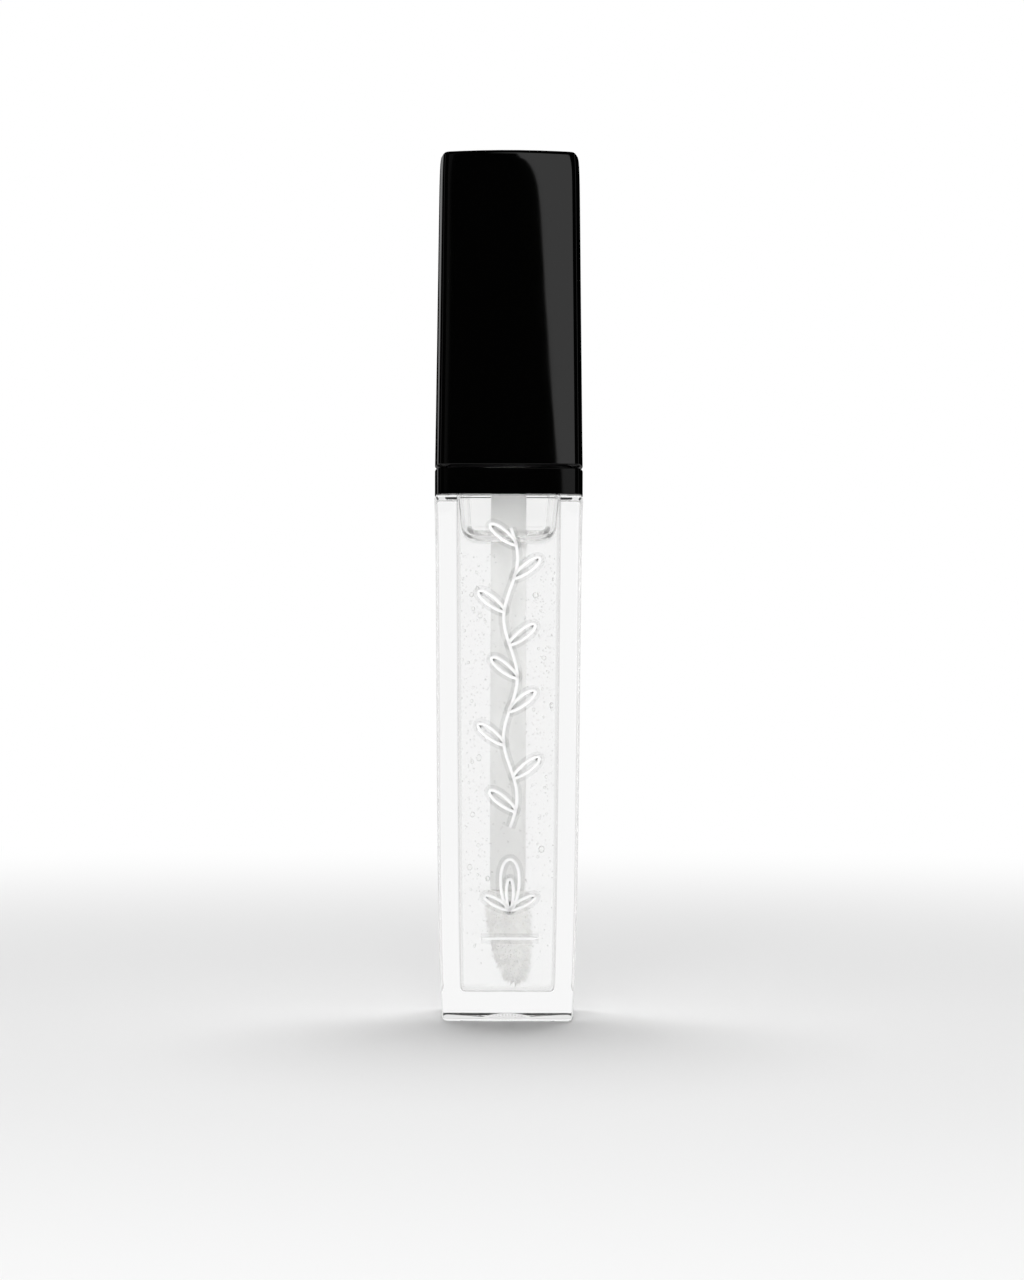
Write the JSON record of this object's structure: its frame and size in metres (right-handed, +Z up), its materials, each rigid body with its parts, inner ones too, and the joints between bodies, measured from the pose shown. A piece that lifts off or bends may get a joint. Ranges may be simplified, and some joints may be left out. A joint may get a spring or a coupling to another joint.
{
  "type": "lip gloss tube",
  "caption": "Thick-walled clear square gloss bottle with a black collar, and a black screw cap that carries a rod with a flocked slanted tip.",
  "frame": {"origin": "centre of the base's outline, on the surface that the tube stands on", "axes": "+Z up along the tube, from its base to the cap; the front face looks along -Y"},
  "size_m": [0.0168, 0.0168, 0.0966],
  "materials": {
    "clear_plastic": "clear and polished, thick walls",
    "black_gloss": "black, moulded to a high gloss",
    "wiper_plastic": "soft translucent polyethylene",
    "gloss_liquid": "clear thick liquid with fine air bubbles",
    "inner_plastic": "black, as moulded",
    "frosted_rod": "frosted white, slightly translucent",
    "tip_plastic": "white, under the flock",
    "flock_fibre": "short dense white nylon flock, wet with gloss",
    "white_ink": "opaque white ink printed on the front of the bottle"
  },
  "bodies": {
    "vial": {"bottle": "clear_plastic", "shoulder_collar": "black_gloss", "wiper": "wiper_plastic", "gloss": "gloss_liquid"},
    "wand": {"applicator_rod": "frosted_rod"},
    "cap": {"cap_shell": "black_gloss", "inner_cap": "inner_plastic", "applicator_tip": "tip_plastic", "flock": "flock_fibre"}
  },
  "joints": [
    {"name": "cap_lift", "type": "slide", "parent": "vial", "child": "wand", "axis": [0, 0, 1], "range_m": [0, 0.07], "deforming": ["gloss", "flock"]},
    {"name": "cap_turn", "type": "hinge", "parent": "wand", "child": "cap", "pos_m": [0, 0, 0.06162], "axis": [0, 0, 1], "range_deg": [0, 450], "deforming": ["gloss", "flock"]}
  ]
}
